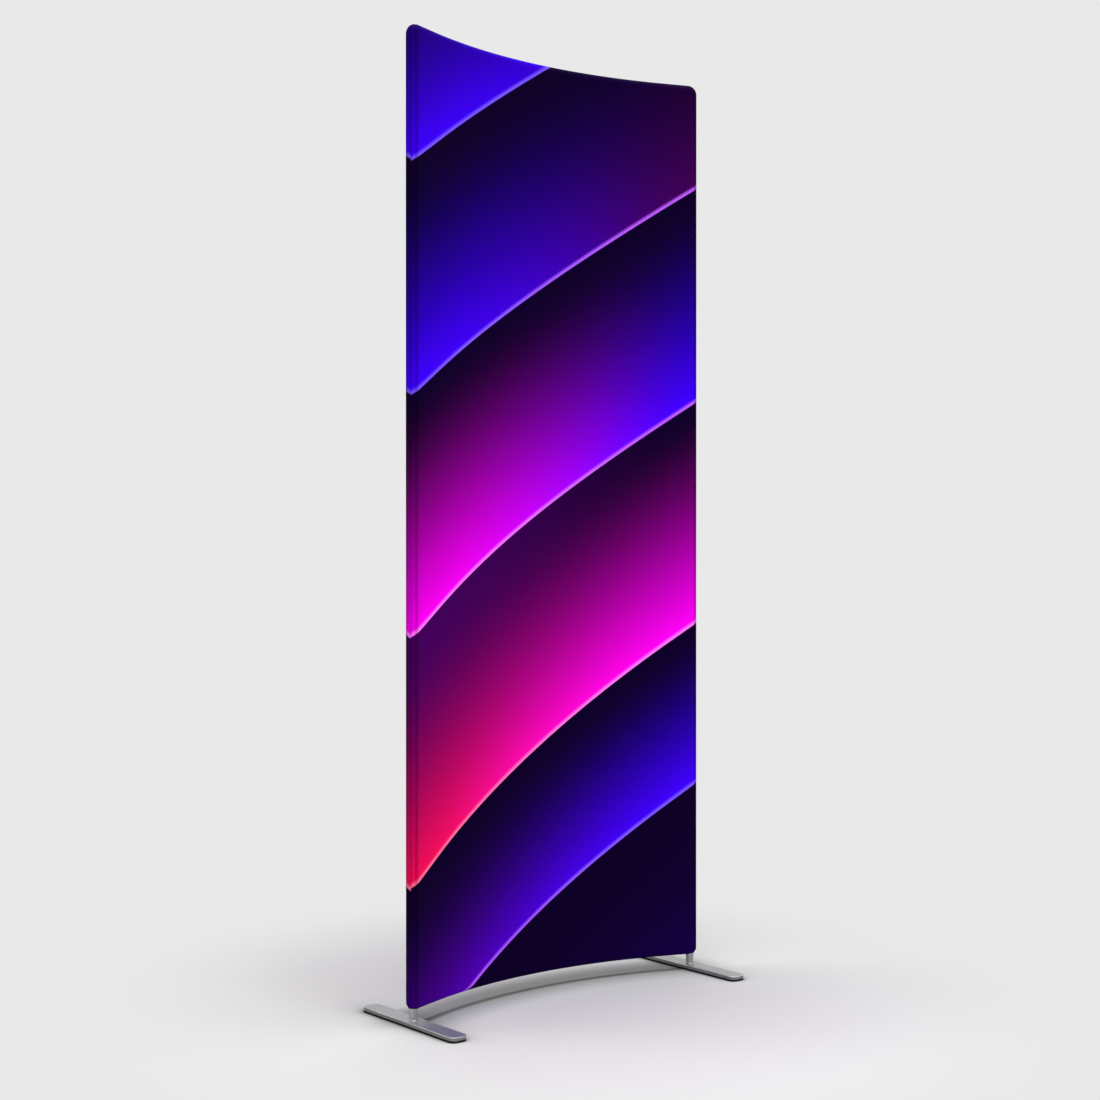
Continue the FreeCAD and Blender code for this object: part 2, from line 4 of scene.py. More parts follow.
import bpy
import numpy as np
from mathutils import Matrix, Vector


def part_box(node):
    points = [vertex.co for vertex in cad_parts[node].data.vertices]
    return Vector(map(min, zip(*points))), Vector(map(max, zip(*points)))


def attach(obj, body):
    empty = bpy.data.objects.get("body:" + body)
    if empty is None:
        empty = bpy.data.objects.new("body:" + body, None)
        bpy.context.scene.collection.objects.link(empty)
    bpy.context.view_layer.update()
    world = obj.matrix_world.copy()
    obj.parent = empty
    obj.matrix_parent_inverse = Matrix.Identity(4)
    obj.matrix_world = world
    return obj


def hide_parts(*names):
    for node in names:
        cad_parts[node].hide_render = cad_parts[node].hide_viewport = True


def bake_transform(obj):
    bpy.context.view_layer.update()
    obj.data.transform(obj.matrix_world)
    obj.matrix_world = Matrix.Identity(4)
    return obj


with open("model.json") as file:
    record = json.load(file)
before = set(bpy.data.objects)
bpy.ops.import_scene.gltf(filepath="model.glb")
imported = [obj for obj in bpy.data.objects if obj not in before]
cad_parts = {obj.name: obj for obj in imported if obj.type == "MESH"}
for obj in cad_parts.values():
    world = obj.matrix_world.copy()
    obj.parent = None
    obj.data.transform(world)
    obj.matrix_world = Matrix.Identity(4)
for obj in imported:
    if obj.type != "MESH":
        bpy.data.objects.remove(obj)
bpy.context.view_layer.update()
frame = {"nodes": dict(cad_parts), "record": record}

# Sizes of the stand, in metres, as the solids have them
HALF_SPAN = 0.445
BOW_RADIUS = 1.085
STRAIGHT_END = 0.075
ROLL_RADIUS = 0.0172
CLOTH_THICKNESS = 0.0009
LOW_LEVEL = 0.0552
HIGH_LEVEL = 2.3068
BOTTOM_BEND = 0.001
TOP_BEND = 0.008
NOTCH_RADIUS = 0.0112
HOLE_REACH = 0.016
ZIP_LEVEL = 0.0892
ZIP_RADIUS = 1.10115
ZIP_SETBACK = 0.035
SLIT_HALF_HEIGHT = 0.0036
SLIT_END = 0.004
FOOT_CORNER = 0.015

MID_LEVEL = (LOW_LEVEL + HIGH_LEVEL) / 2
HALF_HEIGHT = (HIGH_LEVEL - LOW_LEVEL) / 2
BOW_REACH = math.hypot(BOW_RADIUS, STRAIGHT_END)
BOW_ANGLE = math.asin(HALF_SPAN / BOW_REACH) - math.atan(STRAIGHT_END / BOW_RADIUS)
BOW_CENTRE_Y = STRAIGHT_END * math.sin(BOW_ANGLE) - BOW_RADIUS * math.cos(BOW_ANGLE)
BOW_LENGTH = 2 * (STRAIGHT_END + BOW_RADIUS * BOW_ANGLE)
BOW_MIDDLE = BOW_LENGTH / 2
ZIP_HALF_ANGLE = BOW_ANGLE - ZIP_SETBACK / ZIP_RADIUS
SLIT_HALF_LENGTH = BOW_RADIUS * (ZIP_HALF_ANGLE + SLIT_END / ZIP_RADIUS)

# The side seam lies a little to the front of the upright's middle
FRONT_ROLL = math.radians(77)
BACK_ROLL = math.pi - FRONT_ROLL
GROOVE_DEPTH = 0.0009
GROOVE_WIDTH = 0.0016
TENSION = 0.006
FRONT, BACK = -1, 1

# Sewing
THREAD_WIDTH = 0.0006
SEAM_PITCH = 0.0026
SEAM_STITCH = 0.0030
SEAM_SLANT = 0.35
BINDING_RADIUS = 0.0010
BINDING_OUT = 0.3
BINDING_STEPS = 72
BINDING_SIDES = 12
HEM_WIDTH = 0.0079
HEM_RISE = 0.0006
HEM_SLOPE = ((5.0, 1.0), (11.3, 0.8), (12.7, 0.5))
HEM_PITCH = 0.0015
HEM_STITCH_PLACE = 0.0052
HEM_STITCH_PITCH = 0.0034
HEM_STITCH = 0.0026

# Zip teeth
TOOTH_PITCH = 0.0018
TOOTH_SIZE = (0.0029, 0.00105, 0.0019)
TOOTH_ASIDE = 0.00155
TOOTH_DEPTH = 0.0171

# Foot plate's finish: depths below its top, and lengths in from its outline, between which it changes; below
# the top edge the sides are painted darker as shade
TOP_EDGE = (0.0012, 0.0004)
RIM_DEPTH = (0.0018, 0.0006)
RIM_REACH = (0.0016, 0.0002)


# Surfaces

def on_bow(s, z, depth):
    """Point over the middle surface: s runs along the rail's line from the left upright, straight, then
    round the bow, then straight; z is the height, and depth counts to the back along the bow's radius."""
    arc = np.clip(s, STRAIGHT_END, BOW_LENGTH - STRAIGHT_END)
    turn = (arc - STRAIGHT_END) / BOW_RADIUS - BOW_ANGLE
    past = s - arc
    x = (BOW_RADIUS + depth) * np.sin(turn) + past * np.cos(turn)
    y = BOW_CENTRE_Y + (BOW_RADIUS + depth) * np.cos(turn) - past * np.sin(turn)
    return np.stack(np.broadcast_arrays(x, y, z), axis=-1)


def bow_axes(s):
    """Unit vectors at s: along the rail to the right, up, and out to the back."""
    arc = np.clip(s, STRAIGHT_END, BOW_LENGTH - STRAIGHT_END)
    turn = (arc - STRAIGHT_END) / BOW_RADIUS - BOW_ANGLE
    none = np.zeros_like(turn)
    along = np.stack([np.cos(turn), -np.sin(turn), none], axis=-1)
    out = np.stack([np.sin(turn), np.cos(turn), none], axis=-1)
    return along, np.broadcast_to(np.array([0.0, 0.0, 1.0]), along.shape), out


def cloth_form(a, b, face, roll):
    """Cloth over the frame, from its flat cut: a and b are lengths on the cut, and past the frame's
    outline they turn round a roll of the tube's radius. Cut corners become round by squeezing each
    square onto a quarter disc, and the seam dips. Between the rails the stretch draws the cloth towards
    the chord, as a square of a sine. Gives the points and the round-cornered lengths on the cut."""
    width = ROLL_RADIUS * roll
    side = np.sign(a - BOW_MIDDLE)
    rise = np.sign(b - MID_LEVEL)
    from_side = BOW_MIDDLE - np.abs(a - BOW_MIDDLE)
    from_end = HALF_HEIGHT - np.abs(b - MID_LEVEL)
    bend = np.where(rise > 0, TOP_BEND, BOTTOM_BEND)
    reach = bend + width
    x = np.maximum(bend - from_side, 0)
    y = np.maximum(bend - from_end, 0)
    x, y = x * np.sqrt(1 - (y / reach) ** 2 / 2), y * np.sqrt(1 - (x / reach) ** 2 / 2)
    distance = np.hypot(x, y)
    past = np.maximum(distance - bend, 0)
    dip = GROOVE_DEPTH * np.exp(-((width - past) / GROOVE_WIDTH) ** 2)
    radius = ROLL_RADIUS - dip * (past > 0)
    bent = np.minimum(distance, bend) + radius * np.sin(past / ROLL_RADIUS)
    share = bent / np.maximum(distance, 1e-9)
    new_side = np.where(x > 0, bend - x * share, from_side)
    new_end = np.where(y > 0, bend - y * share, from_end)
    s = BOW_MIDDLE + side * (BOW_MIDDLE - new_side)
    z = MID_LEVEL + rise * (HALF_HEIGHT - new_end)
    span = np.clip(from_side / BOW_MIDDLE, 0, 1)
    between = np.sin(math.pi * np.clip(from_end / HALF_HEIGHT, 0, 1)) ** 2
    drawn = TENSION * between * (1 - (1 - span) ** 2)
    depth = face * radius * np.cos(past / ROLL_RADIUS) - drawn
    cut_a = BOW_MIDDLE + side * (BOW_MIDDLE - np.where(x > 0, bend - x, from_side))
    cut_b = MID_LEVEL + rise * (HALF_HEIGHT - np.where(y > 0, bend - y, from_end))
    return on_bow(s, z, depth), cut_a, cut_b


def hole_edge(side, turn, radius):
    """Points on the cloth's underside at a radius from a post: a roll under the rail, which ends as a ball
    round the post. Turn counts from the rail's direction to the back."""
    along, _, out = bow_axes(np.full(turn.shape, BOW_MIDDLE * (1 + side)))
    u = (radius * np.cos(turn))[:, None]
    v = (radius * np.sin(turn))[:, None]
    rolled = BOTTOM_BEND + np.sqrt(ROLL_RADIUS ** 2 - v ** 2)
    level = LOW_LEVEL + BOTTOM_BEND - np.sqrt(rolled ** 2 - np.minimum(u - BOTTOM_BEND, 0) ** 2)
    return -side * u * along + v * out + level * [0, 0, 1] + [side * HALF_SPAN, 0, 0]


def steps(*stops):
    """Grid lines through (place, count) stops, evenly spaced between each two."""
    lines = []
    for (low, count), (high, _) in zip(stops, stops[1:]):
        lines.append(np.linspace(low, high, count, endpoint=False))
    return np.concatenate(lines + [[stops[-1][0]]])


def grid_faces(rows, columns, closed_rows=False, closed_columns=False):
    """Quads of a grid of rows x columns points, wrapped round where it is closed."""
    row = np.arange(rows if closed_rows else rows - 1)[:, None]
    column = np.arange(columns if closed_columns else columns - 1)[None, :]
    next_row, next_column = (row + 1) % rows, (column + 1) % columns
    corners = (row * columns + column, row * columns + next_column,
               next_row * columns + next_column, next_row * columns + column)
    return np.stack(np.broadcast_arrays(*corners), axis=-1).reshape(-1, 4)


def piece(name, points, faces, material, body, uv=None):
    """Mesh object from whole arrays of points and faces, riding on a body if one is named; uv is one pair
    for each point."""
    points = np.asarray(points, float).reshape(-1, 3)
    corners = faces.shape[-1]
    used, faces = np.unique(faces, return_inverse=True)
    faces = faces.reshape(-1, corners)
    points = points[used]
    mesh = bpy.data.meshes.new(name)
    mesh.vertices.add(len(points))
    mesh.vertices.foreach_set("co", points.astype(np.float32).ravel())
    mesh.loops.add(faces.size)
    mesh.loops.foreach_set("vertex_index", faces.astype(np.int32).ravel())
    mesh.polygons.add(len(faces))
    mesh.polygons.foreach_set("loop_start", np.arange(0, faces.size, corners, dtype=np.int32))
    mesh.polygons.foreach_set("use_smooth", np.full(len(faces), True))
    if uv is not None:
        layer = mesh.uv_layers.new(name="cut")
        layer.uv.foreach_set("vector", np.asarray(uv, np.float32).reshape(-1, 2)[used][faces].ravel())
    mesh.update(calc_edges=True)
    mesh.validate()
    mesh.materials.append(material)
    made = bpy.data.objects.new(name, mesh)
    bpy.context.scene.collection.objects.link(made)
    if body:
        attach(made, body)
    return made


def line_round(corners, reach, pitch):
    """Closed line at a distance round four corners (s, z, bend), from the right bottom one up: straight
    runs joined by quarter circles, in even steps of about one pitch. Gives s, z and the outward
    direction's parts along the rail and up."""
    quarter = np.linspace(0, math.pi / 2, 33)
    places = []
    for index, (middle_s, middle_z, bend) in enumerate(corners):
        angle = (index - 1) * math.pi / 2 + quarter
        radius = bend + reach
        round_s = middle_s + radius * np.cos(angle)
        round_z = middle_z + radius * np.sin(angle)
        places.append(np.stack([round_s, round_z, angle], axis=-1))
    line = np.concatenate(places + [places[0][:1] + [0, 0, 2 * math.pi]])
    length = np.concatenate([[0], np.cumsum(np.hypot(*np.diff(line[:, :2], axis=0).T))])
    count = int(length[-1] / pitch)
    at = np.arange(count) * length[-1] / count
    s, z, angle = (np.interp(at, length, line[:, index]) for index in range(3))
    return s, z, np.cos(angle), np.sin(angle)


def line_axes(s, part_s, part_z):
    """Directions at a line on the bowed surface: along it, away from its middle, and out to the back."""
    along, rise, out = bow_axes(s)
    away = along * part_s[:, None] + rise * part_z[:, None]
    run = along * -part_z[:, None] + rise * part_s[:, None]
    return run, away, out


def beads(centre, along, across, out, size, rings=5, sides=6):
    """Threads or teeth laid on a surface: each is round in section and thins to a point at both ends as
    the root of a cosine. Size is length, width and height; centres and directions are arrays, one row
    for each bead."""
    length, width, height = size
    place = np.linspace(-1, 1, rings)[:, None]
    turn = np.arange(sides)[None, :] * 2 * math.pi / sides
    thin = np.sqrt(np.maximum(np.cos(place * math.pi / 2), 0.02))
    local = np.stack(np.broadcast_arrays(place * length / 2, thin * np.cos(turn) * width / 2,
                                         thin * np.sin(turn) * height / 2), axis=-1).reshape(-1, 3)
    axes = np.stack([along, across, out], axis=1)
    points = centre[:, None, :] + np.einsum("pk,nkd->npd", local, axes)
    faces = grid_faces(rings, sides, closed_columns=True)
    offsets = np.arange(len(centre))[:, None, None] * len(local)
    return points.reshape(-1, 3), (faces[None] + offsets).reshape(-1, 4)


def carried(path, across, out, profile, closed_profile=False):
    """Profile carried round a closed path: each profile point (w, h) lies w along across and h along out
    of each path point. Gives points and quads."""
    points = path[:, None] + profile[None, :, :1] * across[:, None] + profile[None, :, 1:] * out[:, None]
    return points, grid_faces(len(path), len(profile), True, closed_profile)


def unit(vectors):
    """Vectors of length one."""
    return vectors / np.linalg.norm(vectors, axis=-1, keepdims=True)


# Shader maths

class Wire:
    """One socket of a shader tree. Arithmetic between wires and numbers adds Math nodes."""

    def __init__(self, tree, socket=None):
        self.tree = tree
        self.socket = socket

    def add(self, kind, inputs=(), output=0, **settings):
        """New node of a kind: its settings first, then its inputs by name or number."""
        made = self.tree.nodes.new(kind)
        for name, value in settings.items():
            setattr(made, name, value)
        for key, value in dict(inputs).items():
            if isinstance(value, Wire):
                self.tree.links.new(value.socket, made.inputs[key])
            else:
                made.inputs[key].default_value = value
        return Wire(self.tree, made.outputs[output])

    def maths(self, operation, *values):
        return self.add("ShaderNodeMath", enumerate(values), operation=operation)

    def __add__(self, other):
        return self.maths("ADD", self, other)

    def __radd__(self, other):
        return self.maths("ADD", other, self)

    def __sub__(self, other):
        return self.maths("SUBTRACT", self, other)

    def __rsub__(self, other):
        return self.maths("SUBTRACT", other, self)

    def __mul__(self, other):
        return self.maths("MULTIPLY", self, other)

    def __rmul__(self, other):
        return self.maths("MULTIPLY", other, self)

    def __pow__(self, other):
        return self.maths("POWER", self, other)

    def __rpow__(self, other):
        return self.maths("POWER", other, self)

    def __abs__(self):
        return self.maths("ABSOLUTE", self)

    def most(self, other):
        return self.maths("MAXIMUM", self, other)

    def wave(self, pitch):
        """Sine of a length, one turn for each pitch."""
        return self.maths("SINE", self * (2 * math.pi / pitch))

    def rise(self, low, high, interpolation="SMOOTHSTEP"):
        """Step from 0 at low to 1 at high, smooth unless told otherwise."""
        return self.add("ShaderNodeMapRange", {0: self, 1: low, 2: high, 3: 0.0, 4: 1.0},
                        interpolation_type=interpolation)

    def between(self, low, high):
        """Straight run from low at 0 to high at 1."""
        return self.add("ShaderNodeMapRange", {0: self, 1: 0.0, 2: 1.0, 3: low, 4: high})

    def parts(self):
        """The three parts of a vector."""
        split = self.add("ShaderNodeSeparateXYZ", {0: self}).socket.node
        return [Wire(self.tree, socket) for socket in split.outputs]

    def noise(self, scale, detail=2.0, stretch=(1.0, 1.0, 1.0)):
        """Cloudy value from 0 to 1 of a vector that is stretched first; scale is clouds for each metre."""
        stretched = self.add("ShaderNodeVectorMath", {0: self, 1: stretch}, operation="MULTIPLY")
        return self.add("ShaderNodeTexNoise", {"Vector": stretched, "Scale": scale, "Detail": detail})

    def cells(self, scale):
        """Distance to the nearest of scattered points."""
        return self.add("ShaderNodeTexVoronoi", {"Vector": self, "Scale": scale})

    def mix(self, low, high):
        """Colour from low at 0 to high at 1."""
        low, high = (end if isinstance(end, Wire) else (*end, 1.0) for end in (low, high))
        return self.add("ShaderNodeMix", {0: self, 6: low, 7: high}, 2, data_type="RGBA")

    def tint(self, strength):
        """Colour multiplied by a value."""
        return self.add("ShaderNodeVectorMath", {0: self, "Scale": strength}, operation="SCALE")

    def bump(self, depth, strength):
        """Normal of a surface raised by this value times a depth."""
        return self.add("ShaderNodeBump", {"Height": self, "Distance": depth, "Strength": strength})


def linear(*rgb):
    """Light share of a colour given in 0 to 255 as a screen shows it."""
    share = np.array(rgb) / 255.0
    return tuple(np.where(share <= 0.04045, share / 12.92, ((share + 0.055) / 1.055) ** 2.4).tolist())


def finish_start(name, place="Object", **constants):
    """New material: gives it, its shader and the place it reads, the object's own or the cloth's cut."""
    material = bpy.data.materials.new(name)
    material.use_nodes = True
    shader = material.node_tree.nodes["Principled BSDF"]
    for socket, value in constants.items():
        shader.inputs[socket.replace("_", " ")].default_value = value
    coordinates = Wire(material.node_tree).add("ShaderNodeTexCoord").socket.node
    return material, shader, Wire(material.node_tree, coordinates.outputs[place])


def feed(shader, **wires):
    """Leads wires into a shader's sockets."""
    for socket, wire in wires.items():
        wire.tree.links.new(wire.socket, shader.inputs[socket.replace("_", " ")])


# Print on the cloth: slanting bands, each with a fine bright edge below that fades to dark above

NIGHT = linear(12, 0, 36)
INK = linear(26, 0, 80)
DEEP_BLUE = linear(42, 0, 170)
BLUE = linear(62, 0, 252)
BLUE_LINE = linear(120, 84, 255)
INDIGO = linear(82, 0, 164)
VIOLET_LINE = linear(190, 90, 255)
PLUM = linear(62, 0, 84)
MAGENTA = linear(250, 0, 240)
PINK_LINE = linear(255, 120, 250)
CRIMSON = linear(240, 12, 84)
ROSE_LINE = linear(255, 110, 150)

# Each band: the height of its lower edge at the middle, then its colour, what that fades to and its
# edge's colour, at the left and at the right
BAND_TOP = 2.78
BANDS = (
    (-0.34, (INK, NIGHT, INK), (INK, NIGHT, INK)),
    (0.20, (INDIGO, NIGHT, VIOLET_LINE), (BLUE, NIGHT, BLUE_LINE)),
    (0.62, (CRIMSON, PLUM, ROSE_LINE), (MAGENTA, NIGHT, PINK_LINE)),
    (1.20, (MAGENTA, NIGHT, PINK_LINE), (BLUE, NIGHT, VIOLET_LINE)),
    (1.76, (BLUE, NIGHT, BLUE_LINE), (PLUM, NIGHT, VIOLET_LINE)),
    (2.30, (BLUE, INK, BLUE_LINE), (DEEP_BLUE, NIGHT, BLUE_LINE)),
)
BAND_SLANT = 0.62
BAND_FADE = 2.3
EDGE_BLUR = 0.0012
LINE_WIDTH = 0.002
LINE_FADE = 0.014
COURSE = 0.0009
WALE = 0.0007

# Painted shade on the cloth where it rolls over the uprights: its strength, and how far past their middle it
# comes and goes
TUBE_PAINTED_SHADE = 0.4
PAINTED_SHADE_COMES = (0.0, 0.0085)
PAINTED_SHADE_GOES = (0.0105, 0.0155)


def bands(across, high):
    """Colour of the print at a place on the cut."""
    level = high - (across - BOW_MIDDLE) * BAND_SLANT
    share = across.rise(0.0, BOW_LENGTH)
    ends = [start for start, _, _ in BANDS[1:]] + [BAND_TOP]
    ink = NIGHT
    for (start, left, right), end in zip(BANDS, ends):
        colour, far, line = (share.mix(*pair) for pair in zip(left, right))
        faded = 1 - level.rise(end, start, "LINEAR") ** BAND_FADE
        glow = level.rise(start + LINE_FADE, start + LINE_WIDTH)
        band = glow.mix(faded.mix(colour, far), line)
        ink = level.rise(start - EDGE_BLUR, start + EDGE_BLUR).mix(ink, band)
    return ink


def printed_cloth():
    """Knitted polyester with a dyed print, matt: fine rows of loops, with painted shade where it rolls over
    the uprights."""
    material, shader, cut = finish_start("printed_cloth", "UV", Specular_IOR_Level=0.02)
    across, high, _ = cut.parts()
    courses = high.wave(COURSE)
    loops = (across + abs(courses) * (COURSE / 9)).wave(WALE)
    knit = loops * 0.5 + courses * 0.35
    mottle = cut.noise(900.0, 3.0)
    over = abs(across - BOW_MIDDLE) - BOW_MIDDLE
    # Painted shade: the colour is darkened on the rolls over the uprights, and the knit's tone is multiplied
    # in with it
    painted_tube_shade = over.rise(*PAINTED_SHADE_COMES) * (1 - over.rise(*PAINTED_SHADE_GOES))
    tone_and_painted_shade = (knit * 0.05 + mottle * 0.16).between(0.9, 1.06) * (1 - painted_tube_shade * TUBE_PAINTED_SHADE)
    feed(shader, Base_Color=bands(across, high).tint(tone_and_painted_shade), Roughness=mottle.between(0.66, 0.82),
         Normal=(knit + mottle).bump(0.00012, 0.35))
    return material


def thread():
    """Twisted sewing thread, dark and dull."""
    material, shader, here = finish_start("seam_thread", Specular_IOR_Level=0.0)
    lay = here.noise(2600.0, 1.0)
    feed(shader, Base_Color=lay.mix(linear(8, 2, 20), linear(24, 10, 44)), Roughness=lay.between(0.5, 0.7),
         Normal=lay.bump(0.0001, 0.5))
    return material


def binding():
    """Narrow woven tape that binds a cut edge."""
    material, shader, here = finish_start("edge_binding", Specular_IOR_Level=0.2)
    x, y, z = here.parts()
    weave = (x + y).wave(0.0011) * z.wave(0.0009)
    feed(shader, Base_Color=weave.between(0.0, 1.0).mix(linear(14, 6, 30), linear(34, 20, 58)),
         Roughness=weave.between(0.7, 0.8), Normal=weave.bump(0.00015, 0.5))
    return material


def foot_metal(low, high):
    """Satin metal bar, ground along its length: fine streaks, sides painted darker as shade below the top,
    and a rim rubbed brighter. The rim is the distance to the plate's round-cornered outline, between the
    plate's low and high corners."""
    material, shader, here = finish_start("foot_satin", Metallic=0.75)
    x, y, z = here.parts()
    streak = here.noise(60.0, 4.0, (26.0, 1.0, 20.0))
    fine = here.noise(240.0, 3.0, (14.0, 1.0, 10.0))
    cloud = here.noise(9.0, 3.0)
    over_x = (abs(x - (low.x + high.x) / 2) - ((high.x - low.x) / 2 - FOOT_CORNER)).most(0.0)
    over_y = (abs(y - (low.y + high.y) / 2) - ((high.y - low.y) / 2 - FOOT_CORNER)).most(0.0)
    edge = (over_x * over_x + over_y * over_y) ** 0.5 - FOOT_CORNER
    top = z.rise(*(high.z - depth for depth in TOP_EDGE))
    rim = edge.rise(*(-reach for reach in RIM_REACH)) * z.rise(*(high.z - depth for depth in RIM_DEPTH))
    worn = rim * cloud.rise(0.3, 0.62)
    tone = (streak * 0.6 + fine * 0.4).rise(0.2, 0.8)
    ground = tone.mix(linear(152, 152, 155), linear(186, 186, 188))
    # Painted shade: the sides below the top edge get a darker colour
    painted_shade_sides = tone.mix(linear(112, 112, 115), linear(142, 142, 145))
    feed(shader, Base_Color=worn.mix(top.mix(painted_shade_sides, ground), linear(226, 226, 228)),
         Roughness=tone.between(0.46, 0.36) - worn * 0.12 + cloud.between(-0.03, 0.03),
         Normal=(streak + fine * 0.5).bump(0.00004, 0.5))
    return material


def post_metal():
    """Turned and polished post: fine rings round it."""
    material, shader, here = finish_start("post_turned", Metallic=1.0)
    ring = here.noise(900.0, 2.0, (0.02, 0.02, 1.0))
    cloud = here.noise(40.0, 2.0)
    feed(shader, Base_Color=ring.mix(linear(150, 150, 153), linear(190, 190, 192)),
         Roughness=cloud.between(0.34, 0.44), Normal=ring.bump(0.00003, 0.4))
    return material


def pad_rubber():
    """Black rubber sheet, matt, with fine pores and a dusty bloom."""
    material, shader, here = finish_start("pad_rubber", Specular_IOR_Level=0.15)
    pores = here.cells(1100.0)
    bloom = here.noise(30.0, 3.0)
    feed(shader, Base_Color=bloom.mix(linear(8, 8, 9), linear(24, 24, 25)),
         Roughness=bloom.between(0.72, 0.9), Normal=pores.bump(0.0002, 0.5))
    return material


def tube_aluminium(name, bowed):
    """Drawn aluminium tube: faint lines along it, upright or round the bow, and a soft natural finish."""
    material, shader, here = finish_start(name, Metallic=1.0)
    x, y, z = here.parts()
    over = y - BOW_CENTRE_Y
    section = {0: (x * x + over * over) ** 0.5, 1: z} if bowed else {0: x, 1: y}
    line = here.add("ShaderNodeCombineXYZ", section).noise(300.0, 3.0)
    cloud = here.noise(14.0, 2.0)
    feed(shader, Base_Color=line.mix(linear(178, 180, 183), linear(206, 207, 209)),
         Roughness=cloud.between(0.30, 0.44), Normal=line.bump(0.00003, 0.4))
    return material


def fitting_plastic():
    """Moulded black nylon with a fine spark-eroded grain, polished where it has been handled."""
    material, shader, here = finish_start("fitting_nylon", Specular_IOR_Level=0.45)
    grain = here.cells(1500.0)
    cloud = here.noise(45.0, 2.0)
    feed(shader, Base_Color=cloud.mix(linear(20, 20, 22), linear(34, 34, 36)),
         Roughness=cloud.between(0.42, 0.62), Normal=grain.bump(0.00012, 0.4))
    return material


def small_metal(name, dark, light, low, high):
    """Small turned or stamped metal piece: tool marks and a few brighter rubs."""
    material, shader, here = finish_start(name, Metallic=1.0)
    mark = here.noise(1400.0, 3.0, (1.0, 0.2, 1.0))
    rub = here.noise(260.0, 2.0).rise(0.4, 0.75)
    feed(shader, Base_Color=rub.mix(linear(*dark), linear(*light)), Roughness=mark.between(low, high),
         Normal=mark.bump(0.00003, 0.5))
    return material


def zip_tape():
    """Woven tape of the zip: a fine herringbone."""
    material, shader, here = finish_start("zip_weave", Specular_IOR_Level=0.2)
    x, _, z = here.parts()
    weave = (x + abs(z.wave(0.004)) * 0.002).wave(0.0008) * z.wave(0.0006)
    feed(shader, Base_Color=weave.between(0.2, 1.0).mix(linear(12, 8, 22), linear(30, 22, 46)),
         Roughness=weave.between(0.7, 0.85), Normal=weave.bump(0.00015, 0.5))
    return material


def zip_coil():
    """Moulded polyester teeth, slightly glossy."""
    material, shader, here = finish_start("zip_teeth", Specular_IOR_Level=0.45)
    cloud = here.noise(500.0, 2.0)
    feed(shader, Base_Color=cloud.mix(linear(15, 10, 28), linear(30, 22, 48)),
         Roughness=cloud.between(0.35, 0.5), Normal=cloud.bump(0.00005, 0.3))
    return material


# Finishes of the carried-over solids, by the end of their names

cloth = printed_cloth()
dark_thread = thread()
edge_tape = binding()
coil = zip_coil()
bowed_tube = tube_aluminium("tube_bowed", True)
nylon = fitting_plastic()
finishes = {
    "foot_pad": pad_rubber(),
    "foot_post": post_metal(),
    "foot_screw": small_metal("screw_zinc", (120, 122, 126), (190, 191, 194), 0.3, 0.45),
    "tube": tube_aluminium("tube_drawn", False),
    "rail": bowed_tube,
    "brace": bowed_tube,
    "tee": nylon,
    "corner": nylon,
    "button": small_metal("button_nickel", (176, 174, 168), (220, 218, 212), 0.18, 0.3),
    "springs": small_metal("spring_temper", (96, 98, 104), (150, 152, 156), 0.28, 0.42),
    "rivets": small_metal("rivet_bright", (170, 172, 175), (212, 213, 214), 0.3, 0.45),
    "tapes": zip_tape(),
    "stops": coil,
    "slider": small_metal("slider_enamel", (46, 46, 52), (66, 66, 72), 0.25, 0.4),
    "pull": small_metal("pull_enamel", (46, 46, 52), (72, 72, 78), 0.25, 0.4),
    "left_foot_plate": foot_metal(*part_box("left_foot_plate")),
    "right_foot_plate": foot_metal(*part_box("right_foot_plate")),
}
for name, node in frame["nodes"].items():
    for ending, finish in finishes.items():
        if name.endswith(ending):
            for slot in node.material_slots:
                slot.material = finish


# Cloth panels

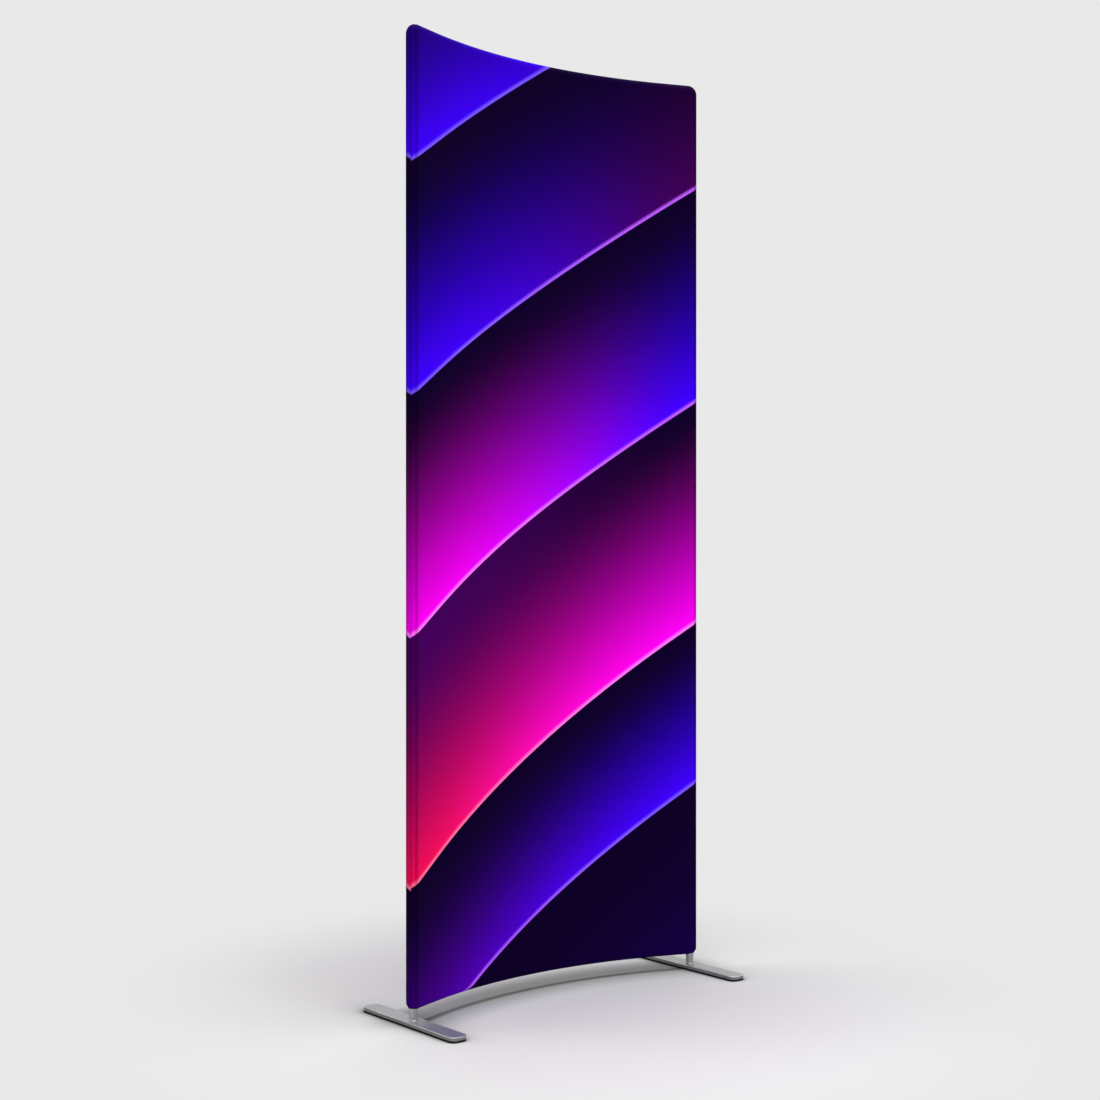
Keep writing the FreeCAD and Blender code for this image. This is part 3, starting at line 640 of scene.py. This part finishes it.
def cloth_panel(name, node, face, roll):
    """Front or back cloth as one stretched sheet, from its cut, with the hole for each post and, at the
    back, the slit of the zip left out, and given its thickness inwards. Gives it and the size of its
    cut."""
    width = ROLL_RADIUS * roll
    slit_low, slit_high = BOW_MIDDLE - SLIT_HALF_LENGTH, BOW_MIDDLE + SLIT_HALF_LENGTH
    lines_a = steps((-width, 14), (BOTTOM_BEND, 6), (TOP_BEND, 8), (HOLE_REACH, 4), (slit_low, 84),
                    (slit_high, 4), (BOW_LENGTH - HOLE_REACH, 8), (BOW_LENGTH - TOP_BEND, 6),
                    (BOW_LENGTH - BOTTOM_BEND, 14), (BOW_LENGTH + width, 1))
    lines_b = steps((LOW_LEVEL - width, 14), (LOW_LEVEL + BOTTOM_BEND, 5),
                    (ZIP_LEVEL - SLIT_HALF_HEIGHT, 2), (ZIP_LEVEL + SLIT_HALF_HEIGHT, 160),
                    (HIGH_LEVEL - TOP_BEND, 17), (HIGH_LEVEL + width, 1))
    b, a = np.meshgrid(lines_b, lines_a, indexing="ij")
    points, cut_a, cut_b = cloth_form(a, b, face, roll)
    points = points.reshape(-1, 3)
    faces = grid_faces(*a.shape)
    for side in (-1, 1):
        along, _, out = bow_axes(np.array(BOW_MIDDLE * (1 + side)))
        away = points * [1, 1, 0] - [side * HALF_SPAN, 0, 0]
        inside = (np.linalg.norm(away, axis=1) < NOTCH_RADIUS) & (points[:, 2] < LOW_LEVEL)
        faces = faces[~inside[faces].all(axis=1)]
        turn = np.arctan2(away @ out, -side * (away @ along))
        points[inside] = hole_edge(side, turn[inside], NOTCH_RADIUS)
    if face == BACK:
        middle_a, middle_b = (line.ravel()[faces].mean(axis=1) for line in (a, b))
        in_length = np.abs(middle_a - BOW_MIDDLE) < SLIT_HALF_LENGTH
        in_height = np.abs(middle_b - ZIP_LEVEL) < SLIT_HALF_HEIGHT
        faces = faces[~(in_length & in_height)][:, ::-1]
    cut_size = (BOW_LENGTH + 2 * width, 2 * HALF_HEIGHT + 2 * width)
    front_width = ROLL_RADIUS * FRONT_ROLL
    share_a, share_b = (1 - 2 * (width - front_width) / size for size in cut_size)
    uv = np.stack([(cut_a + width) * share_a - front_width,
                   (cut_b - LOW_LEVEL + width) * share_b + LOW_LEVEL - front_width], axis=-1)
    made = piece(name, points, faces, cloth, "frame", uv)
    wall = made.modifiers.new("thickness", "SOLIDIFY")
    wall.thickness = CLOTH_THICKNESS
    wall.offset = -1
    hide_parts(node)
    return made, cut_size


front_cloth, front_cut = cloth_panel("front_cloth", "front_fabric", FRONT, FRONT_ROLL)
back_cloth, back_cut = cloth_panel("back_cloth", "back_fabric", BACK, BACK_ROLL)


def seam_threads():
    """Row of threads across the groove where the two cloths are sewn, all round, except at the posts."""
    corners = ((BOW_LENGTH - BOTTOM_BEND, LOW_LEVEL + BOTTOM_BEND, BOTTOM_BEND),
               (BOW_LENGTH - TOP_BEND, HIGH_LEVEL - TOP_BEND, TOP_BEND),
               (TOP_BEND, HIGH_LEVEL - TOP_BEND, TOP_BEND),
               (BOTTOM_BEND, LOW_LEVEL + BOTTOM_BEND, BOTTOM_BEND))
    radius = ROLL_RADIUS - GROOVE_DEPTH
    s, z, part_s, part_z = line_round(corners, radius * math.sin(FRONT_ROLL), SEAM_PITCH)
    run, away, out = line_axes(s, part_s, part_z)
    lie = away * math.sin(FRONT_ROLL) - out * math.cos(FRONT_ROLL)
    centre = on_bow(s, z, -radius * math.cos(FRONT_ROLL)) + lie * (THREAD_WIDTH / 3)
    from_post = np.min([np.hypot(centre[:, 0] - side * HALF_SPAN, centre[:, 1]) for side in (-1, 1)], axis=0)
    keep = (from_post > NOTCH_RADIUS + 2 * BINDING_RADIUS) | (centre[:, 2] > LOW_LEVEL)
    slanted = unit(np.cross(lie, run) + run * SEAM_SLANT)
    points, faces = beads(centre[keep], slanted[keep], unit(np.cross(lie, slanted))[keep], lie[keep],
                          (SEAM_STITCH, THREAD_WIDTH, THREAD_WIDTH))
    return piece("seam_threads", points, faces, dark_thread, "frame")


def notch_binding(side, name):
    """Bound edge round a post's hole in the cloth: a round cord carried along the hole's edge."""
    turn = -side * np.arange(BINDING_STEPS) * 2 * math.pi / BINDING_STEPS
    around = np.arange(BINDING_SIDES) * 2 * math.pi / BINDING_SIDES
    path = hole_edge(side, turn, NOTCH_RADIUS + BINDING_OUT * BINDING_RADIUS)
    outward = unit((path - [side * HALF_SPAN, 0, 0]) * [1, 1, 0])
    upward = np.broadcast_to(np.array([0.0, 0.0, 1.0]), outward.shape)
    profile = BINDING_RADIUS * np.stack([np.cos(around), np.sin(around)], axis=-1)
    points, faces = carried(path, outward, upward, profile, closed_profile=True)
    return piece(name, points, faces, edge_tape, "frame")


# Zip in the back cloth

SLIT_CORNERS = tuple((BOW_MIDDLE + side * SLIT_HALF_LENGTH, ZIP_LEVEL + end * SLIT_HALF_HEIGHT, 0.0)
                     for side, end in ((1, -1), (1, 1), (-1, 1), (-1, -1)))


def zip_welt():
    """Hem round the slit: a band that stands a little proud of the cloth, with a rounded lip at the slit,
    carried along the hem's outer edge."""
    s, z, part_s, part_z = line_round(SLIT_CORNERS, HEM_WIDTH, HEM_PITCH)
    _, away, out = line_axes(s, part_s, part_z)
    lip = np.linspace(math.pi, math.pi / 2, 6)
    rounded = HEM_RISE * np.stack([1 + np.cos(lip), np.sin(lip)], axis=-1)
    flat = HEM_RISE * np.array(HEM_SLOPE)
    profile = np.concatenate([[[0.0, -CLOTH_THICKNESS]], rounded, flat, [[HEM_WIDTH, -CLOTH_THICKNESS / 2]]])
    points, faces = carried(on_bow(s, z, ROLL_RADIUS), away, out, profile - [HEM_WIDTH, 0])
    return piece("zip_welt", points, faces, edge_tape, "frame")


def welt_threads():
    """Row of lockstitch along the hem of the slit."""
    s, z, part_s, part_z = line_round(SLIT_CORNERS, HEM_STITCH_PLACE, HEM_STITCH_PITCH)
    points, faces = beads(on_bow(s, z, ROLL_RADIUS + HEM_RISE), *line_axes(s, part_s, part_z),
                          (HEM_STITCH, THREAD_WIDTH, THREAD_WIDTH))
    return piece("welt_threads", points, faces, dark_thread, "frame")


def zip_teeth():
    """Two rows of interlocking teeth: each a rounded bead across the zip, the rows half a pitch apart."""
    count = int(2 * ZIP_HALF_ANGLE * ZIP_RADIUS / TOOTH_PITCH)
    rows = []
    for half in (-1, 1):
        angle = -ZIP_HALF_ANGLE + (np.arange(count) + 0.5 + 0.25 * half) * (2 * ZIP_HALF_ANGLE / count)
        s = BOW_MIDDLE + BOW_RADIUS * angle
        along, rise, out = bow_axes(s)
        centre = on_bow(s, np.full(count, ZIP_LEVEL + half * TOOTH_ASIDE), TOOTH_DEPTH)
        rows.append(beads(centre, rise, along, out, TOOTH_SIZE, sides=8))
    (low_points, low_faces), (high_points, high_faces) = rows
    made = piece("zip_teeth", np.concatenate([low_points, high_points]),
                 np.concatenate([low_faces, high_faces + len(low_points)]), coil, "frame")
    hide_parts("zip_chain")


# Springs behind the buttons

def button_springs():
    """Hairpin springs cut from the node that holds them all, each for the button nearest to it, each a piece
    of its own that rides on no body."""
    solid = frame["nodes"]["snap_springs"].data
    solid.calc_loop_triangles()
    points = np.empty(3 * len(solid.vertices), np.float32)
    faces = np.empty(3 * len(solid.loop_triangles), np.int32)
    solid.vertices.foreach_get("co", points)
    solid.loop_triangles.foreach_get("vertices", faces)
    points = points.reshape(-1, 3)
    faces = faces.reshape(-1, 3)
    joints = frame["record"]["behaviour"]["joints"]
    presses = [joint for joint in joints if joint["name"].endswith("_press")]
    buttons = np.array([np.mean(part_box(joint["child"]), axis=0) for joint in presses])
    away = np.linalg.norm(points[faces].mean(axis=1)[:, None] - buttons, axis=2)
    for index, joint in enumerate(presses):
        own = faces[away.argmin(axis=1) == index]
        button = joint["child"]
        name = button.replace("button", "spring")
        leaf = piece(name, points, own, finishes["springs"], None)
        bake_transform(leaf)
        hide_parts("snap_springs")


trim = [seam_threads(), notch_binding(-1, "left_notch_binding"), notch_binding(1, "right_notch_binding")]
zip_trim = [zip_welt(), welt_threads()]
zip_teeth()
button_springs()


# Floor, light and camera

BACKGROUND = linear(233, 233, 233)
FLOOR = (0.80, 0.80, 0.80)
FLOOR_HALF = 60.0
FLOOR_FADE = (0.62, 1.35)

# Painted shadow close under the stand, an occlusion term in the floor's colour: how far out, the way it
# stays open, how steeply, and the colour it darkens to
PAINTED_SHADOW_REACH = 0.12
PAINTED_SHADOW_LEAN = (-0.2, -0.5, 0.84)
PAINTED_SHADOW_DEPTH = 2.2
PAINTED_SHADOW_COLOUR = (0.0, 0.0, 0.0)

WORLD_LIGHT = 0.10

# Each light: its place, the point it faces, its width and height, its power in watts, and whether metal
# mirrors it
LIGHTS = {
    "overhead": ((-0.2, -0.2, 7.0), (-0.2, -0.2, 0.0), 4.4, 4.4, 440.0, True),
    "front": ((0.0, -4.95, 0.75), (0.0, 0.0, 1.2), 2.6, 1.2, 185.0, False),
    "back": ((-3.6, 3.6, 0.75), (0.0, 0.0, 1.2), 2.6, 1.2, 120.0, False),
}

CAMERA_PLACE = (-2.857, -3.4073, 1.1178)
CAMERA_SENSOR = 36.0
CAMERA_LENS = 58.743
CAMERA_FAR = 200.0
CAMERA_TURN = 0.3305
CAMERA_TILT = 0.185


def shown_rays(tree):
    """1 on rays that show a thing to the camera, straight, in metal or through glass, and 0 on those
    that light."""
    path = Wire(tree).add("ShaderNodeLightPath").socket.node
    straight, mirrored, through = (
        Wire(tree, path.outputs[f"Is {name} Ray"]) for name in ("Camera", "Glossy", "Transmission"))
    return straight.most(mirrored).most(through)


def pale_floor():
    """Pale matt floor with a painted shadow close under the stand, an occlusion term in its colour, that
    fades into the background further out."""
    material = bpy.data.materials.new("pale_floor")
    material.use_nodes = True
    tree = material.node_tree
    tree.nodes.remove(tree.nodes["Principled BSDF"])
    start = Wire(tree)
    x, y, _ = start.add("ShaderNodeTexCoord", output="Object").parts()
    far = ((x * x + y * y) ** 0.5).rise(*FLOOR_FADE)
    lean = start.add("ShaderNodeCombineXYZ", enumerate(PAINTED_SHADOW_LEAN))
    # Painted shadow: the floor's colour darkens by an occlusion term close under the stand
    open_share = start.add("ShaderNodeAmbientOcclusion", {"Distance": PAINTED_SHADOW_REACH, "Normal": lean}, "AO")
    colour = (open_share ** PAINTED_SHADOW_DEPTH).mix(PAINTED_SHADOW_COLOUR, FLOOR)
    matt = start.add("ShaderNodeBsdfDiffuse", {"Color": colour})
    glow = start.add("ShaderNodeEmission", {"Color": (*BACKGROUND, 1.0)})
    both = start.add("ShaderNodeMixShader", {0: far * shown_rays(tree), 1: matt, 2: glow})
    tree.links.new(both.socket, tree.nodes["Material Output"].inputs["Surface"])
    return material


def studio_world():
    """Even white light all round, which shows as the pale background."""
    world = bpy.data.worlds.new("studio")
    world.use_nodes = True
    tree = world.node_tree
    tree.nodes.clear()
    start = Wire(tree)
    lit = start.add("ShaderNodeBackground", {"Color": (1.0, 1.0, 1.0, 1.0), "Strength": WORLD_LIGHT})
    shown = start.add("ShaderNodeBackground", {"Color": (*BACKGROUND, 1.0)})
    both = start.add("ShaderNodeMixShader", {0: shown_rays(tree), 1: lit, 2: shown})
    tree.links.new(both.socket, tree.nodes.new("ShaderNodeOutputWorld").inputs["Surface"])
    return world


def soft_light(name, place, aim, width, height, power, mirrored):
    """Soft light, a lit rectangle at a place, facing a point."""
    lamp = bpy.data.lights.new(name, "AREA")
    lamp.shape = "RECTANGLE"
    lamp.size = width
    lamp.size_y = height
    lamp.energy = power
    made = bpy.data.objects.new(name, lamp)
    bpy.context.scene.collection.objects.link(made)
    made.visible_glossy = mirrored
    made.location = place
    made.rotation_euler = (Vector(aim) - Vector(place)).to_track_quat("-Z", "Y").to_euler()


floor_mesh = bpy.data.meshes.new("floor")
floor_corners = [(x * FLOOR_HALF, y * FLOOR_HALF, 0) for x, y in ((-1, -1), (1, -1), (1, 1), (-1, 1))]
floor_mesh.from_pydata(floor_corners, [], [(0, 1, 2, 3)])
floor_mesh.materials.append(pale_floor())
floor = bpy.data.objects.new("floor", floor_mesh)
bpy.context.scene.collection.objects.link(floor)
bpy.context.scene.world = studio_world()
for name, settings in LIGHTS.items():
    soft_light(name, *settings)

camera_data = bpy.data.cameras.new("camera")
camera_data.sensor_width = CAMERA_SENSOR
camera_data.lens = CAMERA_LENS
camera_data.clip_end = CAMERA_FAR
camera = bpy.data.objects.new("camera", camera_data)
bpy.context.scene.collection.objects.link(camera)
camera.location = CAMERA_PLACE
heading = math.atan2(-CAMERA_PLACE[0], -CAMERA_PLACE[1]) - math.radians(CAMERA_TURN)
camera.rotation_euler = (math.radians(90 - CAMERA_TILT), 0.0, -heading)
bpy.context.scene.camera = camera
bpy.context.scene.view_settings.view_transform = "Standard"
